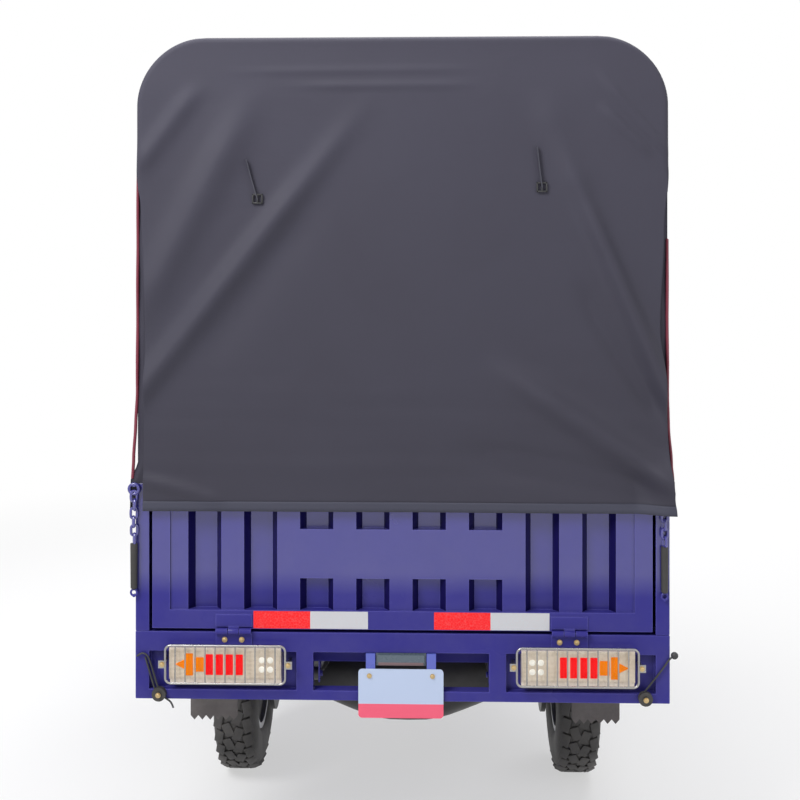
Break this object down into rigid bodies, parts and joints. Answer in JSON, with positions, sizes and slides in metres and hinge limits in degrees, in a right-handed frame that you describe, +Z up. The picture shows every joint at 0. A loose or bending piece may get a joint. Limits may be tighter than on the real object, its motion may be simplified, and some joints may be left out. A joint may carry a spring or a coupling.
{
  "type": "cargo tricycle",
  "caption": "Motor cargo tricycle with a canvas-covered load box, pressed-steel boards, a drop-down tailgate, a guarded rear light bar and a saddle behind a motorcycle-style front end.",
  "frame": {"origin": "on the ground under the middle of the vehicle's box", "axes": "+Y to the front, +X to the vehicle's right, +Z up"},
  "size_m": [1.434, 3.384, 2.205],
  "materials": {
    "blue_paint": "satin",
    "dark_paint": "satin",
    "canvas": "matt",
    "tyre": "matt",
    "rubber": "matt",
    "rim_steel": "satin",
    "chrome": "polished",
    "aluminium": "cast",
    "steel": "worn",
    "lamp_amber": "clear",
    "lamp_clear": "clear",
    "plate_white": "gloss",
    "tape": "reflective",
    "seat_skin": "grained",
    "black_plastic": "satin"
  },
  "bodies": {
    "chassis": {"chassis_rails": "blue_paint", "chassis_crossmembers": "blue_paint", "deck_bearers": "blue_paint", "front_frame": "blue_paint", "rear_light_bar": "blue_paint", "plate_bracket": "blue_paint", "number_plate": "plate_white", "plate_lamp": "lamp_clear", "tail_lamp_left": "lamp_clear", "tail_lamp_right": "lamp_clear", "lamp_guard_left": "chrome", "lamp_guard_right": "chrome", "load_deck": "blue_paint", "side_board_left": "blue_paint", "side_board_right": "blue_paint", "headboard": "blue_paint", "tailgate_hinges": "blue_paint", "canopy_bows": "blue_paint", "canopy_cover": "canvas", "gate_chains": "blue_paint", "tie_buffers": "rubber", "rear_axle": "dark_paint", "leaf_spring_left": "dark_paint", "leaf_spring_right": "dark_paint", "spring_hangers": "blue_paint", "drive_shaft": "steel", "engine": "aluminium", "exhaust": "chrome", "fuel_tank": "blue_paint", "seat_base": "blue_paint", "rider_seat": "seat_skin", "seat_backrest": "seat_skin", "footboards": "blue_paint", "mudflaps": "rubber"},
    "tailgate": {"tailgate": "blue_paint", "reflective_tapes": "tape"},
    "rear_curtain": {"rear_curtain": "canvas"},
    "steering": {"fork": "dark_paint", "fork_gaiters": "rubber", "handlebar": "chrome", "handlebar_grips": "rubber", "headlamp": "dark_paint", "headlamp_lens": "lamp_clear", "front_indicators": "lamp_amber", "mirrors": "black_plastic", "speedometer": "black_plastic", "front_mudguard": "blue_paint"},
    "front_wheel": {"front_tyre": "tyre", "front_rim": "rim_steel"},
    "rear_wheel_left": {"rear_tyre_left": "tyre", "rear_rim_left": "rim_steel"},
    "rear_wheel_right": {"rear_tyre_right": "tyre", "rear_rim_right": "rim_steel"}
  },
  "joints": [
    {"name": "tailgate_open", "type": "hinge", "parent": "chassis", "child": "tailgate", "pos_m": [0, -1.671, 0.662], "axis": [1, 0, 0], "range_deg": [0, 90]},
    {"name": "curtain_swing", "type": "hinge", "parent": "chassis", "child": "rear_curtain", "pos_m": [0, -1.67, 2.181], "axis": [1, 0, 0], "range_deg": [-35, 0]},
    {"name": "steering", "type": "hinge", "parent": "chassis", "child": "steering", "pos_m": [0, 1.37205, 0.26647], "axis": [0, -0.4384, 0.8988], "range_deg": [-40, 40]},
    {"name": "front_wheel_spin", "type": "hinge", "parent": "steering", "child": "front_wheel", "pos_m": [0, 1.408, 0.284], "axis": [1, 0, 0], "continuous": true},
    {"name": "rear_wheel_left_spin", "type": "hinge", "parent": "chassis", "child": "rear_wheel_left", "pos_m": [-0.527, -0.862, 0.284], "axis": [1, 0, 0], "continuous": true},
    {"name": "rear_wheel_right_spin", "type": "hinge", "parent": "chassis", "child": "rear_wheel_right", "pos_m": [0.527, -0.862, 0.284], "axis": [1, 0, 0], "continuous": true}
  ],
  "couplings": [
    {"joint": "curtain_swing", "follows": "tailgate_open", "ratio": -0.36}
  ]
}
